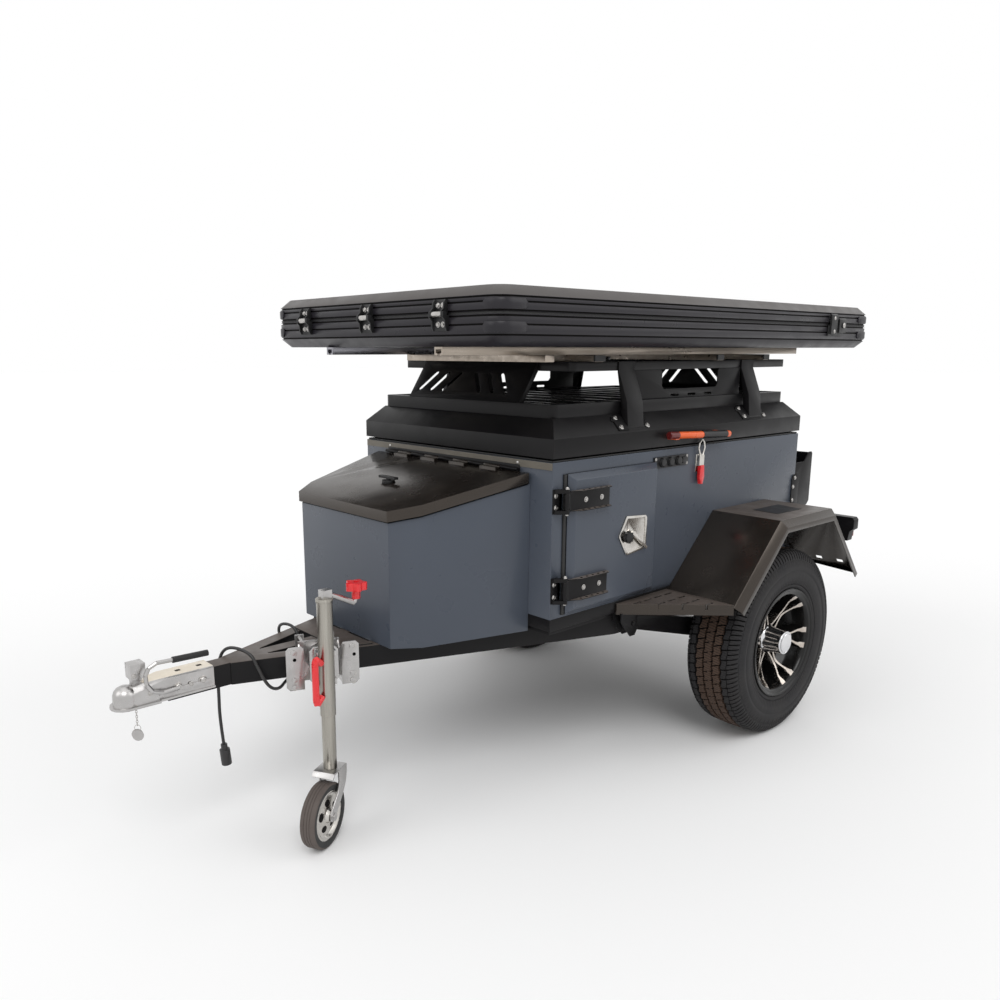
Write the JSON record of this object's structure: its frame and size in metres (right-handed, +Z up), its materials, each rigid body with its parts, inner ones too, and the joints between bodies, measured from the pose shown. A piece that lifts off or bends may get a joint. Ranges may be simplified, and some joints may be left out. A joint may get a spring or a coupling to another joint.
{
  "type": "off-road camping trailer",
  "caption": "Box-bodied off-road camping trailer with a lifting lid, roof rack, closed hard-shell roof tent, tongue box, A-frame drawbar and swing-up jockey wheel.",
  "frame": {"origin": "on the ground, midway between the coupler's nose and the tent's rear edge, on the centre line", "axes": "+X forward to the coupler, +Y to the trailer's left, +Z up"},
  "size_m": [3.15, 1.628, 1.661],
  "materials": {
    "body_grey": "satin powder coat, slate grey",
    "frame_black": "textured black powder coat",
    "tent_black": "black anodised extrusion and sheet",
    "bare_aluminium": "mill finish extrusion",
    "zinc": "bright zinc plate",
    "stainless": "polished stainless steel",
    "black_plastic": "moulded black plastic",
    "red_plastic": "red coated grip",
    "red_lens": "red lamp lens",
    "orange_grip": "orange grip sleeve",
    "black_rubber": "black rubber",
    "grey_rubber": "solid rubber tyre",
    "tyre": "all-terrain tyre",
    "wheel_alloy": "black alloy with machined faces",
    "fabric": "woven cover"
  },
  "bodies": {
    "trailer": {"body_base": "frame_black", "body_seal": "black_rubber", "body_shell": "body_grey", "can_holder": "frame_black", "gas_bottle": "frame_black", "chassis": "frame_black", "coupler": "zinc", "coupler_grip": "black_plastic", "coupler_handle": "zinc", "coupler_lock": "zinc", "door_hinge_leaves": "frame_black", "drawbar": "frame_black", "fenders": "frame_black", "jockey_mount": "zinc", "lid_hinge_fixed": "frame_black", "rear_bumper": "frame_black", "socket_panel": "black_plastic", "steps": "frame_black", "tail_lamps": "red_lens", "toggle_latch": "stainless", "tongue_box": "body_grey", "tongue_hinge": "frame_black", "trailing_arms": "frame_black", "trailer_cable": "black_rubber", "cable_plug": "black_plastic"},
    "lid": {"roof_lid": "frame_black", "rack_tray": "frame_black", "rack_upper_frame": "frame_black", "rack_end_plates": "frame_black", "rack_side_plates": "frame_black", "rack_posts": "frame_black", "tent_rails": "bare_aluminium", "tent_base": "tent_black", "tent_mattress": "fabric", "tent_hinge_low": "black_plastic", "tent_latches": "black_plastic", "lid_handle": "orange_grip"},
    "tent_cover": {"tent_top": "tent_black", "tent_hinge_high": "black_plastic"},
    "left_door": {"door_left": "body_grey", "door_strap_left": "frame_black", "door_latch_left": "stainless"},
    "right_door": {"door_right": "body_grey", "door_strap_right": "frame_black", "door_latch_right": "stainless"},
    "box_lid": {"tongue_lid": "frame_black", "tongue_lock": "stainless"},
    "left_wheel": {"tyre_left": "tyre", "wheel_rim_left": "wheel_alloy"},
    "right_wheel": {"tyre_right": "tyre", "wheel_rim_right": "wheel_alloy"},
    "jockey": {"jockey_head": "zinc", "jockey_tube": "zinc", "jockey_crank": "zinc", "jockey_knob": "red_plastic", "jockey_pull": "red_plastic"},
    "jockey_inner": {"jockey_inner_tube": "zinc"},
    "castor": {"jockey_fork": "zinc"},
    "jockey_wheel": {"jockey_rim": "zinc", "jockey_tyre": "grey_rubber"}
  },
  "joints": [
    {"name": "lid_hinge", "type": "hinge", "parent": "trailer", "child": "lid", "pos_m": [-0.4235, -0.519, 1.142], "axis": [1, 0, 0], "range_deg": [0, 35]},
    {"name": "tent_hinge", "type": "hinge", "parent": "lid", "child": "tent_cover", "pos_m": [0.6645, 0, 1.584], "axis": [0, 1, 0], "range_deg": [0, 40]},
    {"name": "left_door_hinge", "type": "hinge", "parent": "trailer", "child": "left_door", "pos_m": [0.2985, 0.533, 0.86], "axis": [0, 0, -1], "range_deg": [0, 105]},
    {"name": "right_door_hinge", "type": "hinge", "parent": "trailer", "child": "right_door", "pos_m": [0.2985, -0.533, 0.86], "axis": [0, 0, 1], "range_deg": [0, 105]},
    {"name": "box_lid_hinge", "type": "hinge", "parent": "trailer", "child": "box_lid", "pos_m": [0.3485, 0, 1.10435], "axis": [0, -1, 0], "range_deg": [0, 55]},
    {"name": "left_wheel_spin", "type": "hinge", "parent": "trailer", "child": "left_wheel", "pos_m": [-0.7335, 0.65, 0.3675], "axis": [0, 1, 0], "continuous": true},
    {"name": "right_wheel_spin", "type": "hinge", "parent": "trailer", "child": "right_wheel", "pos_m": [-0.7335, -0.65, 0.3675], "axis": [0, 1, 0], "continuous": true},
    {"name": "jockey_swing", "type": "hinge", "parent": "trailer", "child": "jockey", "pos_m": [0.97657, 0.1256, 0.552], "axis": [0.3429, 0.9394, 0], "range_deg": [0, 65]},
    {"name": "jockey_wind", "type": "slide", "parent": "jockey", "child": "jockey_inner", "axis": [0, 0, -1], "range_m": [0, 0.15]},
    {"name": "castor_swivel", "type": "hinge", "parent": "jockey_inner", "child": "castor", "pos_m": [1.0165, 0.235, 0.23], "axis": [0, 0, 1], "continuous": true},
    {"name": "jockey_wheel_spin", "type": "hinge", "parent": "castor", "child": "jockey_wheel", "pos_m": [1.0646, 0.26166, 0.1], "axis": [-0.4848, 0.8746, 0], "continuous": true}
  ]
}
